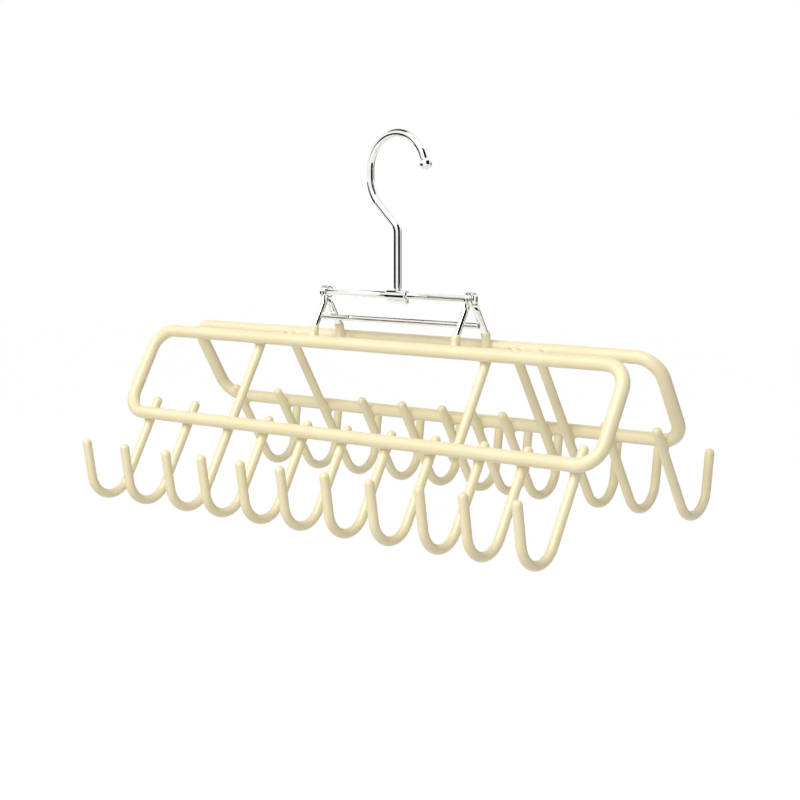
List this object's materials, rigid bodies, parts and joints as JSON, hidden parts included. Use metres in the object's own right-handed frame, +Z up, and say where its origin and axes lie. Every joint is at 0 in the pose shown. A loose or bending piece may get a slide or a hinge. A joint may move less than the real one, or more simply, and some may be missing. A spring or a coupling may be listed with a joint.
{
  "type": "tie hanger",
  "caption": "Folding tie hanger: a bent wire hook and axle carry two tilted coated wire frames, each with a row of open hooks.",
  "frame": {"origin": "the point inside the hanging hook's bow that rests on the rod", "axes": "+Z up, +X along the axle and the frames towards the hook's open side, -Y the front frame"},
  "size_m": [0.3327, 0.1792, 0.2035],
  "materials": {
    "chrome_wire": "bright nickel-chrome plated steel wire",
    "cream_coating": "cream vinyl dip coating with a soft gloss over steel wire"
  },
  "bodies": {
    "hook_and_axle": {"hanging_hook": "chrome_wire", "hook_ball": "chrome_wire", "axle_clip": "chrome_wire", "axle": "chrome_wire"},
    "front_rack": {"front_frame": "cream_coating", "front_left_leg": "chrome_wire", "front_right_leg": "chrome_wire", "front_left_leg_coat": "cream_coating", "front_right_leg_coat": "cream_coating", "front_strut": "cream_coating", "front_tie_hook_1": "cream_coating", "front_tie_hook_2": "cream_coating", "front_tie_hook_3": "cream_coating", "front_tie_hook_4": "cream_coating", "front_tie_hook_5": "cream_coating", "front_tie_hook_6": "cream_coating", "front_tie_hook_7": "cream_coating", "front_tie_hook_8": "cream_coating", "front_tie_hook_9": "cream_coating", "front_tie_hook_10": "cream_coating", "front_tie_hook_11": "cream_coating"},
    "rear_rack": {"rear_frame": "cream_coating", "rear_left_leg": "chrome_wire", "rear_right_leg": "chrome_wire", "rear_left_leg_coat": "cream_coating", "rear_right_leg_coat": "cream_coating", "rear_strut": "cream_coating", "crossbar": "chrome_wire", "rear_tie_hook_1": "cream_coating", "rear_tie_hook_2": "cream_coating", "rear_tie_hook_3": "cream_coating", "rear_tie_hook_4": "cream_coating", "rear_tie_hook_5": "cream_coating", "rear_tie_hook_6": "cream_coating", "rear_tie_hook_7": "cream_coating", "rear_tie_hook_8": "cream_coating", "rear_tie_hook_9": "cream_coating", "rear_tie_hook_10": "cream_coating", "rear_tie_hook_11": "cream_coating"}
  },
  "joints": [
    {"name": "rack_swing", "type": "hinge", "parent": "hook_and_axle", "child": "front_rack", "pos_m": [0, 0, -0.0829], "axis": [1, 0, 0], "range_deg": [-70, 70]},
    {"name": "rear_rack_open", "type": "hinge", "parent": "front_rack", "child": "rear_rack", "pos_m": [0, 0, -0.0829], "axis": [1, 0, 0], "range_deg": [0, 58]}
  ]
}
